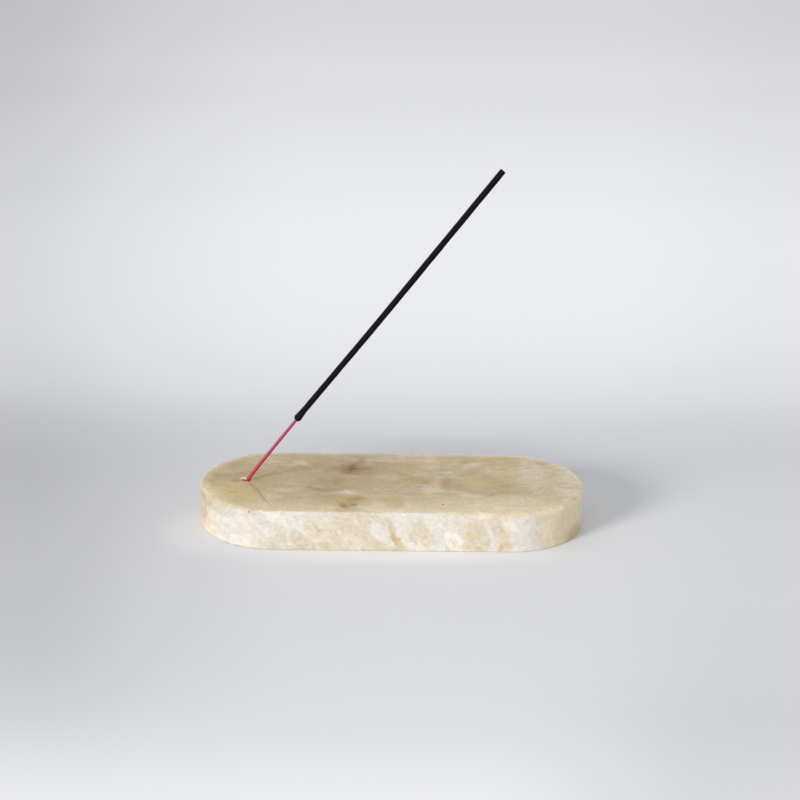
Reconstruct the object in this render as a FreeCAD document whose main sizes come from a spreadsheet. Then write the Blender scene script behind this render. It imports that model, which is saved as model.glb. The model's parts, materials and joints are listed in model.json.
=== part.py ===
"""Stone incense burner: a slab of banded calcite with round ends and one slanted hole near an end,
and the incense stick that leans in that hole.

Frame: millimetres, +Z up, origin at the middle of the slab's underside, +X along the slab, the way
that the stick leans.
"""

import FreeCAD
import Part
import os
import Sketcher

from enum import IntEnum
from FreeCAD import Placement, Rotation, Vector

# Driving sizes: name, value and meaning. Lengths are in millimetres, angles in degrees.
SIZES = [
    ("slab_length", 200, "slab, end to end"),
    ("slab_width", 80, "slab, side to side, which is the diameter of its round ends"),
    ("slab_thickness", 21, "slab, underside to top face"),
    ("edge_radius", 1, "easing of the slab's top and bottom edges"),
    ("hole_diameter", 4, "drilled hole for the stick"),
    ("hole_depth", 14.5, "hole, along its axis, from the top face to its flat floor"),
    ("hole_lean", 30, "hole's axis off vertical, towards +X"),
    ("hole_inset", 24, "slab's end to the middle of the hole's mouth"),
    ("seat_gap", 0.2, "stick to the rim, wall and floor of the hole where it leans"),
    ("core_diameter", 1.5, "bamboo splint"),
    ("core_chamfer", 0.2, "broken edge at both ends of the splint"),
    ("bare_length", 57, "splint below the paste"),
    ("coat_length", 165, "paste, from its lower end to the stick's tip"),
    ("coat_wall", 0.8, "paste around the splint"),
    ("coat_foot_wall", 0.5, "paste at its blunt lower end"),
    ("coat_foot_length", 1.2, "taper from the blunt end to the full wall"),
    ("coat_tip_radius", 0.5, "rounding of the paste at the stick's tip"),
    ("coat_tip_cover", 1.2, "paste over the splint's upper end"),
]

# How the stick comes to rest, from the driving sizes: name and formula. Seen along Y, the stick bears on
# the low side of the hole's rim, on the high side of the hole's wall at its foot, and on the floor. slack is
# the angle that this leaves between the stick and the hole's axis.
SEAT = [
    ("hole_radius", "Sizes.hole_diameter / 2"),
    ("core_radius", "Sizes.core_diameter / 2"),
    ("mouth_x", "Sizes.hole_inset - Sizes.slab_length / 2"),
    ("rim_rise", "hole_radius * tan(Sizes.hole_lean)"),
    ("reach", "Sizes.hole_depth - Sizes.seat_gap + rim_rise"),
    ("room", "Sizes.hole_diameter - Sizes.seat_gap"),
    ("taken", "Sizes.core_diameter + Sizes.seat_gap"),
    ("slack", "(acos(taken / sqrt(room ^ 2 + reach ^ 2)) - atan(reach / room)) / 1 deg"),
    ("stick_lean", "Sizes.hole_lean + slack"),
    ("foot_aside", "hole_radius - Sizes.seat_gap - core_radius * cos(slack)"),
    ("foot_down", "Sizes.hole_depth - Sizes.seat_gap - core_radius * sin(slack)"),
    ("foot_x", "mouth_x - foot_aside * cos(Sizes.hole_lean) - foot_down * sin(Sizes.hole_lean)"),
    ("foot_rise", "foot_aside * sin(Sizes.hole_lean) - foot_down * cos(Sizes.hole_lean)"),
    ("foot_z", "Sizes.slab_thickness + foot_rise"),
]

FULL_TURN = 360
ON_PLANE = 1e-6


class Spot(IntEnum):
    """The point of a line, arc or circle that a constraint holds."""

    START = 1
    END = 2
    CENTRE = 3


class Axis(IntEnum):
    """A sketch's own axes, by the numbers that constraints know them by. ACROSS starts at the origin."""

    ACROSS = -1
    UPRIGHT = -2


def fill_sheet(doc, name, rows, prefix=""):
    """Adds a sheet with a row for each size: its name, its value or formula, and its meaning."""
    sheet = doc.addObject("Spreadsheet::Sheet", name)
    for number, (alias, value, *meaning) in enumerate(rows, start=1):
        sheet.set(f"A{number}", alias)
        sheet.set(f"B{number}", f"{prefix}{value}")
        sheet.setAlias(f"B{number}", alias)
        for text in meaning:
            sheet.set(f"C{number}", text)
    doc.recompute()
    return sheet


def measure(owner, formula):
    """The number that a formula on the sheets gives now."""
    result = owner.evalExpression(formula)
    return float(getattr(result, "Value", result))


def new_body(doc, label):
    """An empty body, whose label names its file."""
    body = doc.addObject("PartDesign::Body", label)
    body.Label = label
    return body


def new_sketch(body, name, plane):
    """A sketch on one of the body's own origin planes."""
    sketch = body.newObject("Sketcher::SketchObject", name)
    planes = {feature.Role: feature for feature in body.Origin.OriginFeatures}
    sketch.AttachmentSupport = [(planes[plane], "")]
    sketch.MapMode = "FlatFace"
    return sketch


def relate(sketch, kind, *where):
    """Adds a constraint with no size."""
    sketch.addConstraint(Sketcher.Constraint(kind, *where))


def dimension(sketch, name, formula, kind, *where):
    """Adds a named constraint whose size follows the sheets."""
    index = sketch.addConstraint(Sketcher.Constraint(kind, *where, measure(sketch, formula)))
    sketch.renameConstraint(index, name)
    sketch.setExpression(f"Constraints.{name}", formula)


def chain(sketch, corners):
    """Lines from each corner to the next and back to the first, joined end to end. Returns their numbers."""
    ring = corners[1:] + corners[:1]
    lines = []
    for start, end in zip(corners, ring):
        segment = Part.LineSegment(Vector(*start, 0), Vector(*end, 0))
        lines.append(sketch.addGeometry(segment, False))
    for line, following in zip(lines, lines[1:] + lines[:1]):
        relate(sketch, "Coincident", line, Spot.END, following, Spot.START)
    return lines


def grow(body, kind, name, sketch, **sizes):
    """Adds a feature made from a sketch, with its sizes bound to formulas, and returns it recomputed."""
    feature = body.newObject(kind, name)
    feature.Profile = sketch
    for size, formula in sizes.items():
        feature.setExpression(size, formula)
    body.Document.recompute()
    return feature


def turn(body, kind, name, sketch):
    """Adds a full turn of a sketch about its own upright axis."""
    feature = body.newObject(kind, name)
    feature.Profile = sketch
    feature.ReferenceAxis = (sketch, ["V_Axis"])
    feature.Angle = FULL_TURN
    body.Document.recompute()
    return feature


def level_edges(shape, heights):
    """Names of the edges that lie flat at one of these heights."""
    names = []
    for number, edge in enumerate(shape.Edges, start=1):
        box = edge.BoundBox
        if box.ZLength < ON_PLANE and any(abs(box.ZMin - height) < ON_PLANE for height in heights):
            names.append(f"Edge{number}")
    return names


def dress(body, kind, name, base, heights, **sizes):
    """Adds a fillet or chamfer on the base feature's flat edges at these heights."""
    feature = body.newObject(kind, name)
    feature.Base = (base, level_edges(base.Shape, heights))
    for size, formula in sizes.items():
        feature.setExpression(size, formula)
    body.Document.recompute()
    return feature


def draw_slab_outline(body):
    """Two straight sides joined by two half circles, about the origin."""
    sketch = new_sketch(body, "slab_outline", "XY_Plane")
    radius = measure(sketch, "Sizes.slab_width / 2")
    half_run = measure(sketch, "(Sizes.slab_length - Sizes.slab_width) / 2")

    def side(start_x, y):
        segment = Part.LineSegment(Vector(start_x, y, 0), Vector(-start_x, y, 0))
        return sketch.addGeometry(segment, False)

    def end(start, middle_x, finish):
        arc = Part.Arc(Vector(*start, 0), Vector(middle_x, 0, 0), Vector(*finish, 0))
        return sketch.addGeometry(arc, False)

    front = side(-half_run, -radius)
    right = end((half_run, -radius), half_run + radius, (half_run, radius))
    back = side(half_run, radius)
    left = end((-half_run, radius), -half_run - radius, (-half_run, -radius))
    for piece, following in ((front, right), (right, back), (back, left), (left, front)):
        relate(sketch, "Tangent", piece, Spot.END, following, Spot.START)
    relate(sketch, "Equal", left, right)
    relate(sketch, "Horizontal", front)
    relate(sketch, "Symmetric", left, Spot.CENTRE, right, Spot.CENTRE, Axis.ACROSS, Spot.START)
    dimension(sketch, "end_radius", "Sizes.slab_width / 2", "Radius", right)
    run = "Sizes.slab_length - Sizes.slab_width"
    dimension(sketch, "straight_run", run, "DistanceX", left, Spot.CENTRE, right, Spot.CENTRE)
    return sketch


def draw_hole_profile(body):
    """Half of the hole's section, from past the top face down to its floor, along the hole's own axis."""
    sketch = new_sketch(body, "hole_profile", "XZ_Plane")
    lean = Rotation(Vector(0, 0, -1), measure(sketch, "Sizes.hole_lean"))
    sketch.AttachmentOffset = Placement(Vector(), lean)
    sketch.setExpression("AttachmentOffset.Base.x", "Seat.mouth_x")
    sketch.setExpression("AttachmentOffset.Base.y", "Sizes.slab_thickness")
    sketch.setExpression("AttachmentOffset.Rotation.Angle", "Sizes.hole_lean")
    radius = measure(sketch, "Seat.hole_radius")
    floor = -measure(sketch, "Sizes.hole_depth")
    past_face = "Seat.rim_rise + Seat.hole_radius"
    top_edge = measure(sketch, past_face)
    corners = [(0, floor), (radius, floor), (radius, top_edge), (0, top_edge)]
    base, wall, top, _ = chain(sketch, corners)
    relate(sketch, "Horizontal", base)
    relate(sketch, "Vertical", wall)
    relate(sketch, "Horizontal", top)
    relate(sketch, "PointOnObject", base, Spot.START, Axis.UPRIGHT)
    relate(sketch, "PointOnObject", top, Spot.END, Axis.UPRIGHT)
    dimension(sketch, "radius", "Seat.hole_radius", "DistanceX", base, Spot.START, base, Spot.END)
    dimension(sketch, "depth", "Sizes.hole_depth", "DistanceY", base, Spot.START, Axis.ACROSS, Spot.START)
    dimension(sketch, "past_face", past_face, "DistanceY", Axis.ACROSS, Spot.START, top, Spot.END)
    return sketch


def make_slab(doc):
    """The stone: outline raised to its thickness, edges eased, and the slanted hole drilled."""
    body = new_body(doc, "stone_slab")
    outline = draw_slab_outline(body)
    block = grow(body, "PartDesign::Pad", "slab_block", outline, Length="Sizes.slab_thickness")
    faces = (0, measure(block, "Sizes.slab_thickness"))
    eased = dress(body, "PartDesign::Fillet", "eased_edges", block, faces, Radius="Sizes.edge_radius")
    turn(body, "PartDesign::Groove", "stick_hole", draw_hole_profile(body))
    drilled = eased.Shape.Volume - body.Shape.Volume
    print(f"stone_slab: the hole took {drilled:.1f} mm3")
    return body


def seat_on_stone(body):
    """Leans a stick piece, drawn upright on its foot, to where it rests in the hole."""
    body.Placement = Placement(Vector(), Rotation(Vector(0, 1, 0), measure(body, "Seat.stick_lean")))
    body.setExpression("Placement.Base.x", "Seat.foot_x")
    body.setExpression("Placement.Base.z", "Seat.foot_z")
    body.setExpression("Placement.Rotation.Angle", "Seat.stick_lean")
    body.Document.recompute()
    return body


def make_core(doc):
    """The bamboo splint: a thin rod that runs up inside the paste."""
    body = new_body(doc, "bamboo_core")
    sketch = new_sketch(body, "core_section", "XY_Plane")
    circle = Part.Circle(Vector(), Vector(0, 0, 1), measure(sketch, "Seat.core_radius"))
    ring = sketch.addGeometry(circle, False)
    relate(sketch, "Coincident", ring, Spot.CENTRE, Axis.ACROSS, Spot.START)
    dimension(sketch, "radius", "Seat.core_radius", "Radius", ring)
    length = "Sizes.bare_length + Sizes.coat_length - Sizes.coat_tip_cover"
    rod = grow(body, "PartDesign::Pad", "core_rod", sketch, Length=length)
    ends = (0, measure(rod, length))
    dress(body, "PartDesign::Chamfer", "core_ends", rod, ends, Size="Sizes.core_chamfer")
    return seat_on_stone(body)


def draw_coat_profile(body):
    """Half of the paste's section, from its blunt lower end to its rounded, closed tip."""
    sketch = new_sketch(body, "coat_profile", "XZ_Plane")
    bore = measure(sketch, "Seat.core_radius")
    blunt = measure(sketch, "Seat.core_radius + Sizes.coat_foot_wall")
    full = measure(sketch, "Seat.core_radius + Sizes.coat_wall")
    low = measure(sketch, "Sizes.bare_length")
    tip = measure(sketch, "Sizes.bare_length + Sizes.coat_length")
    swelling = "Sizes.coat_foot_length"
    swell = low + measure(sketch, swelling)
    cover = tip - measure(sketch, "Sizes.coat_tip_cover")
    corners = [(bore, low), (blunt, low), (full, swell), (full, tip), (0, tip), (0, cover), (bore, cover)]
    foot, taper, side, end, middle, seat, wall = chain(sketch, corners)
    for level in (foot, end, seat):
        relate(sketch, "Horizontal", level)
    for upright in (side, wall):
        relate(sketch, "Vertical", upright)
    relate(sketch, "PointOnObject", end, Spot.END, Axis.UPRIGHT)
    relate(sketch, "PointOnObject", seat, Spot.START, Axis.UPRIGHT)
    dimension(sketch, "bore", "Seat.core_radius", "DistanceX", Axis.ACROSS, Spot.START, foot, Spot.START)
    dimension(sketch, "bare", "Sizes.bare_length", "DistanceY", Axis.ACROSS, Spot.START, foot, Spot.START)
    dimension(sketch, "foot_wall", "Sizes.coat_foot_wall", "DistanceX", foot, Spot.START, foot, Spot.END)
    dimension(sketch, "full_wall", "Sizes.coat_wall", "DistanceX", foot, Spot.START, taper, Spot.END)
    dimension(sketch, "foot_length", swelling, "DistanceY", taper, Spot.START, taper, Spot.END)
    dimension(sketch, "coat_length", "Sizes.coat_length", "DistanceY", foot, Spot.START, end, Spot.END)
    dimension(sketch, "tip_cover", "Sizes.coat_tip_cover", "DistanceY", middle, Spot.END, middle, Spot.START)
    return sketch


def make_coat(doc):
    """The paste: a rolled coat on the splint, closed over its upper end and rounded there."""
    body = new_body(doc, "incense_coat")
    roll = turn(body, "PartDesign::Revolution", "coat_roll", draw_coat_profile(body))
    tip = (measure(roll, "Sizes.bare_length + Sizes.coat_length"),)
    dress(body, "PartDesign::Fillet", "coat_tip", roll, tip, Radius="Sizes.coat_tip_radius")
    return seat_on_stone(body)


def check(doc, bodies):
    """Stops the build if any object failed or any piece isn't one sound solid."""
    for item in doc.Objects:
        if {"Invalid", "Error"} & set(item.State):
            raise RuntimeError(f"{item.Label} failed: {item.State}")
    for body in bodies:
        shape = body.Shape
        if shape.isNull() or not shape.isValid() or len(shape.Solids) != 1:
            raise RuntimeError(f"{body.Label} is not one sound solid")


def report(bodies):
    """Prints what the record needs: sizes, volumes, the stick's seat and the gap that it keeps."""
    for body in bodies:
        box = body.Shape.optimalBoundingBox(False)
        print(f"{body.Label}: {box.XLength:.2f} x {box.YLength:.2f} x {box.ZLength:.2f} mm,"
              f" {body.Shape.Volume:.1f} mm3")
    slab, core, _ = bodies
    for name in ("slack", "stick_lean", "foot_x", "foot_z"):
        print(f"{name}: {measure(slab, 'Seat.' + name):.4f}")
    axis = core.Placement.Rotation.multVec(Vector(0, 0, 1))
    print(f"stick axis: {axis.x:.6f} {axis.y:.6f} {axis.z:.6f}")
    print(f"stick to stone: {core.Shape.distToShape(slab.Shape)[0]:.3f} mm")


def main():
    """Builds the sheets and the three pieces, checks them and writes a file for each."""
    doc = FreeCAD.newDocument("incense_burner")
    fill_sheet(doc, "Sizes", SIZES)
    fill_sheet(doc, "Seat", SEAT, prefix="=")
    bodies = [make_slab(doc), make_core(doc), make_coat(doc)]
    doc.recompute()
    check(doc, bodies)
    report(bodies)
    os.makedirs("parts", exist_ok=True)
    for body in bodies:
        body.Shape.exportStep(os.path.join("parts", f"{body.Label}.step"))


main()
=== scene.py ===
"""Looks of a stone incense burner: a slab of cream and honey calcite with a stick leaning in its hole.

Lengths are in metres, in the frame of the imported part: +Z up, the origin in the middle of the slab's
underside, and +X along the slab, the way that the stick leans.
"""

import json
import logging
import math
from collections.abc import Sequence
from dataclasses import dataclass
from enum import Enum
from functools import partial, reduce

import bmesh
import bpy
import numpy as np
from mathutils import Matrix, Vector, noise


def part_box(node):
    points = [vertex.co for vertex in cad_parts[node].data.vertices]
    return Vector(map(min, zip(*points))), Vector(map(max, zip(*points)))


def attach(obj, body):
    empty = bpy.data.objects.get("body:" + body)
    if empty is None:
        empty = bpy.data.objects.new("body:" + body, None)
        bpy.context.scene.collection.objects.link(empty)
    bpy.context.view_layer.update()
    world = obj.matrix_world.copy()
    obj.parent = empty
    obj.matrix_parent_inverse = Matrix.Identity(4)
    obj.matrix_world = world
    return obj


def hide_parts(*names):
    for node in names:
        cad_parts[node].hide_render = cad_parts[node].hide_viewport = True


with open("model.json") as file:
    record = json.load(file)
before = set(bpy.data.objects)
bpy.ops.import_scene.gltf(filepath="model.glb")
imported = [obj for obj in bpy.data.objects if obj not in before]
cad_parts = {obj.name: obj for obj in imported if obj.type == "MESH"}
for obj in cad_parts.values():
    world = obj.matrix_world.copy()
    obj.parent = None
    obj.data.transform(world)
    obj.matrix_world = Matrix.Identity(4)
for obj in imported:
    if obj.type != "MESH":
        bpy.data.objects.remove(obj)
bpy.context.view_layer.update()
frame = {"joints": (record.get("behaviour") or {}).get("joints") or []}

LOG = logging.getLogger("incense_burner")
MM = 0.001

Socket = bpy.types.NodeSocket
Value = float | Sequence[float] | Socket
Feeds = dict[str | int, Value]


def linear(*levels: int) -> tuple[float, ...]:
    """The linear colour that shaders take, for red, green and blue on a screen, each from 0 to 255."""
    shares = (level / 255 for level in levels)
    return *(s / 12.92 if s <= 0.04045 else ((s + 0.055) / 1.055) ** 2.4 for s in shares), 1.0


class Graph:
    """Short calls that add nodes to a shader or geometry tree and wire them up."""

    MIX_FACTOR, MIX_FIRST, MIX_SECOND, MIX_RESULT = 0, 6, 7, 2

    def __init__(self, tree: bpy.types.NodeTree) -> None:
        """Works on this tree."""
        self.tree = tree

    def feed(self, socket: Socket, value: Value) -> None:
        """Links a socket to the input, or sets the input's own value.

        Args:
            socket: The input.
            value: An output to link, or a number, colour or vector.
        """
        if isinstance(value, Socket):
            self.tree.links.new(value, socket)
        else:
            socket.default_value = value

    def add(self, kind: str, feeds: Feeds | None = None, **settings: object) -> bpy.types.Node:
        """Adds a node.

        Args:
            kind: Blender's name for the node's class.
            feeds: What goes into its inputs, by name or number.
            **settings: The node's own properties.

        Returns:
            The node.
        """
        node = self.tree.nodes.new(kind)
        for name, setting in settings.items():
            setattr(node, name, setting)
        for key, value in (feeds or {}).items():
            self.feed(node.inputs[key], value)
        return node

    def math(self, operation: str, *values: Value) -> Socket:
        """A sum on numbers."""
        return self.add("ShaderNodeMath", dict(enumerate(values)), operation=operation).outputs[0]

    def times(self, first: Value, *others: Value) -> Socket:
        """The product of numbers."""
        return reduce(partial(self.math, "MULTIPLY"), others, first)

    def plus(self, first: Value, *others: Value) -> Socket:
        """The total of numbers."""
        return reduce(partial(self.math, "ADD"), others, first)

    def minus(self, first: Value, second: Value) -> Socket:
        """The first number less the second."""
        return self.math("SUBTRACT", first, second)

    def vector(self, operation: str, *values: Value) -> Socket:
        """A sum on vectors that gives a vector."""
        feeds = dict(enumerate(values))
        return self.add("ShaderNodeVectorMath", feeds, operation=operation).outputs["Vector"]

    def measure(self, operation: str, *values: Value) -> Socket:
        """A sum on vectors that gives a number."""
        feeds = dict(enumerate(values))
        return self.add("ShaderNodeVectorMath", feeds, operation=operation).outputs["Value"]

    def scaled(self, vector: Value, factor: Value) -> Socket:
        """A vector times a number."""
        feeds = {"Vector": vector, "Scale": factor}
        return self.add("ShaderNodeVectorMath", feeds, operation="SCALE").outputs["Vector"]

    def part(self, vector: Value, axis: str) -> Socket:
        """A vector's X, Y or Z."""
        return self.add("ShaderNodeSeparateXYZ", {0: vector}).outputs[axis]

    def ramp(self, value: Value, low: Value, high: Value, start: Value = 0.0, end: Value = 1.0) -> Socket:
        """An eased step from start to end, while the value goes from low to high."""
        feeds = {"Value": value, "From Min": low, "From Max": high, "To Min": start, "To Max": end}
        return self.add("ShaderNodeMapRange", feeds, interpolation_type="SMOOTHSTEP").outputs["Result"]

    def mix(self, factor: Value, first: Value, second: Value, blend: str = "MIX") -> Socket:
        """A blend of two colours.

        Args:
            factor: The second colour's share.
            first: The colour below.
            second: The colour above.
            blend: Blender's name for the way of blending.

        Returns:
            The blended colour.
        """
        feeds = {self.MIX_FACTOR: factor, self.MIX_FIRST: first, self.MIX_SECOND: second}
        node = self.add("ShaderNodeMix", feeds, data_type="RGBA", blend_type=blend)
        return node.outputs[self.MIX_RESULT]

    def clouds(self, at: Value, size: Value, seed: Value = 0.0, **feeds: float) -> Socket:
        """Soft noise.

        Args:
            at: The place that is looked up.
            size: How far apart the blotches are.
            seed: A number that gives another pattern.
            **feeds: The noise node's other inputs, in lower case.

        Returns:
            The noise there, from 0 to 1.
        """
        scale = self.math("DIVIDE", 1.0, size) if isinstance(size, Socket) else 1 / size
        wired = {"Vector": at, "W": seed, "Scale": scale}
        wired.update({name.title(): value for name, value in feeds.items()})
        return self.add("ShaderNodeTexNoise", wired, noise_dimensions="4D").outputs["Fac"]

    def cells(self, at: Value, size: float) -> Socket:
        """The number, from 0 to 1, of the crystal that holds this place, among crystals of this size."""
        crystals = self.add("ShaderNodeTexVoronoi", {"Vector": at, "Scale": 1 / size})
        return self.part(crystals.outputs["Color"], "X")

    def warped(self, at: Value, size: float, reach: float, seed: float) -> Socket:
        """A place pushed about by noise, so that what is looked up there gets wandering edges.

        Args:
            at: The place.
            size: How far apart the pushes are.
            reach: How far they push.
            seed: A number that gives another pattern.

        Returns:
            The pushed place.
        """
        push = self.clouds(at, size, seed, detail=2.0).node.outputs["Color"]
        centred = self.vector("SUBTRACT", push, (0.5, 0.5, 0.5))
        return self.vector("ADD", at, self.scaled(centred, 2 * reach))


class Material(Graph):
    """A surface finish that is being wired: a Principled shader and the place on the piece."""

    def __init__(self, name: str) -> None:
        """Starts an empty material with this name."""
        self.material = bpy.data.materials.new(name)
        self.material.use_nodes = True
        super().__init__(self.material.node_tree)
        self.tree.nodes.clear()
        self.shader = self.add("ShaderNodeBsdfPrincipled")
        self.add("ShaderNodeOutputMaterial", {"Surface": self.shader.outputs["BSDF"]})
        self.place = self.add("ShaderNodeTexCoord").outputs["Object"]

    def set(self, **inputs: Value) -> None:
        """Feeds the shader's inputs.

        Args:
            **inputs: What goes into them, by their names in lower case with underscores.
        """
        titles = {socket.name.lower().replace(" ", "_"): socket for socket in self.shader.inputs}
        for name, value in inputs.items():
            self.feed(titles[name], value)

    def bump(self, height: Value, depth: float, under: Value | None = None) -> Socket:
        """A surface relief.

        Args:
            height: The relief, from 0 to 1.
            depth: How high 1 is.
            under: The normal that the relief is added to.

        Returns:
            The normal.
        """
        feeds = {"Height": height, "Distance": depth}
        if under is not None:
            feeds["Normal"] = under
        return self.add("ShaderNodeBump", feeds).outputs["Normal"]


class Recipe(Graph):
    """A geometry tree with named inputs, which a modifier runs once to make a plain mesh."""

    def __init__(self, name: str, **inputs: object) -> None:
        """Starts a tree.

        Args:
            name: The tree's name.
            **inputs: The tree's inputs, by name, each with its value.
        """
        super().__init__(bpy.data.node_groups.new(name, "GeometryNodeTree"))
        self.tree.interface.new_socket("Geometry", in_out="OUTPUT", socket_type="NodeSocketGeometry")
        self.tree.interface.new_socket("Geometry", in_out="INPUT", socket_type="NodeSocketGeometry")
        self.values: dict[str, object] = {}
        for title, value in inputs.items():
            socket = self.tree.interface.new_socket(title, in_out="INPUT", socket_type=self.kind_of(value))
            self.values[socket.identifier] = value
        self.inputs = self.add("NodeGroupInput").outputs

    @staticmethod
    def kind_of(value: object) -> str:
        """Finds the kind of input that holds a value.

        Args:
            value: The value.

        Returns:
            Blender's name for that kind.
        """
        if isinstance(value, bpy.types.Material):
            return "NodeSocketMaterial"
        if isinstance(value, int):
            return "NodeSocketInt"
        return "NodeSocketFloat" if isinstance(value, float) else "NodeSocketVector"

    def close(self, geometry: Socket) -> None:
        """Ends the tree with plain geometry in the piece's material.

        Args:
            geometry: What the tree has made.
        """
        real = self.add("GeometryNodeRealizeInstances", {"Geometry": geometry}).outputs[0]
        smooth = self.add("GeometryNodeSetShadeSmooth", {"Geometry": real}).outputs[0]
        feeds = {"Geometry": smooth, "Material": self.inputs["material"]}
        self.add("NodeGroupOutput", {0: self.add("GeometryNodeSetMaterial", feeds).outputs[0]})

    def attach(self, piece: bpy.types.Object) -> None:
        """Puts the tree on a piece, with its inputs set.

        Args:
            piece: The piece.
        """
        modifier = piece.modifiers.new(self.tree.name, "NODES")
        modifier.node_group = self.tree
        for identifier, value in self.values.items():
            modifier[identifier] = value


def link_piece(name: str, mesh: bpy.types.Mesh) -> bpy.types.Object:
    """Adds a mesh to the scene as an object at the origin.

    Args:
        name: The object's name.
        mesh: Its mesh.

    Returns:
        The object.
    """
    piece = bpy.data.objects.new(name, mesh)
    bpy.context.scene.collection.objects.link(piece)
    return piece


def make_plain(piece: bpy.types.Object) -> bpy.types.Object:
    """Replaces a piece's mesh by what its modifiers make of it, and removes them.

    Args:
        piece: The piece.

    Returns:
        The same piece.
    """
    graph = bpy.context.evaluated_depsgraph_get()
    plain = bpy.data.meshes.new_from_object(piece.evaluated_get(graph), depsgraph=graph)
    piece.modifiers.clear()
    piece.data = plain
    plain.name = piece.name
    return piece


class Mineral(Enum):
    """Colours in the stone, as they look in plain light."""

    TAN = linear(180, 157, 115)
    BEIGE = linear(195, 177, 139)
    UMBER = linear(152, 122, 86)
    HONEY = linear(205, 182, 128)
    OCHRE = linear(182, 155, 92)
    STAIN = linear(106, 70, 18)
    MILK = linear(212, 199, 175)
    # Painted glow: a pale cream for the top's lit edges, where light comes through the stone.
    EDGE_GLOW = linear(229, 215, 183)
    SNOW = linear(213, 210, 203)
    PEARL = linear(188, 184, 175)
    FROST = linear(245, 240, 230)
    CREAM = linear(203, 192, 169)
    FAWN = linear(195, 179, 148)
    # Partly the right end's tan and partly painted glow: paler than the stone, for light that comes
    # through it from the left.
    BUFF_AND_GLOW = linear(235, 218, 184)
    # Partly the stone's tan and partly painted shade, for the dim far left end.
    SAND_AND_SHADE = linear(142, 126, 98)
    VEIN = linear(150, 106, 78)
    SOOT = linear(58, 48, 42)


@dataclass(frozen=True)
class Inclusion:
    """A patch of another mineral in the stone.

    Attributes:
        mineral: Its colour.
        centre: Its middle, in millimetres.
        reach: Its half sizes along its own X, Y and Z, in millimetres.
        strength: How far it covers the stone around it.
        softness: The width of its fading edge, as a share of its half size.
        turn: How far its long side is turned from X towards +Y, in degrees.
        dip: How far its long side is turned from X down towards -Z, in degrees.
    """

    mineral: Mineral
    centre: tuple[float, float, float]
    reach: tuple[float, float, float]
    strength: float
    softness: float = 1.2
    turn: float = 0.0
    dip: float = 0.0


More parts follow.
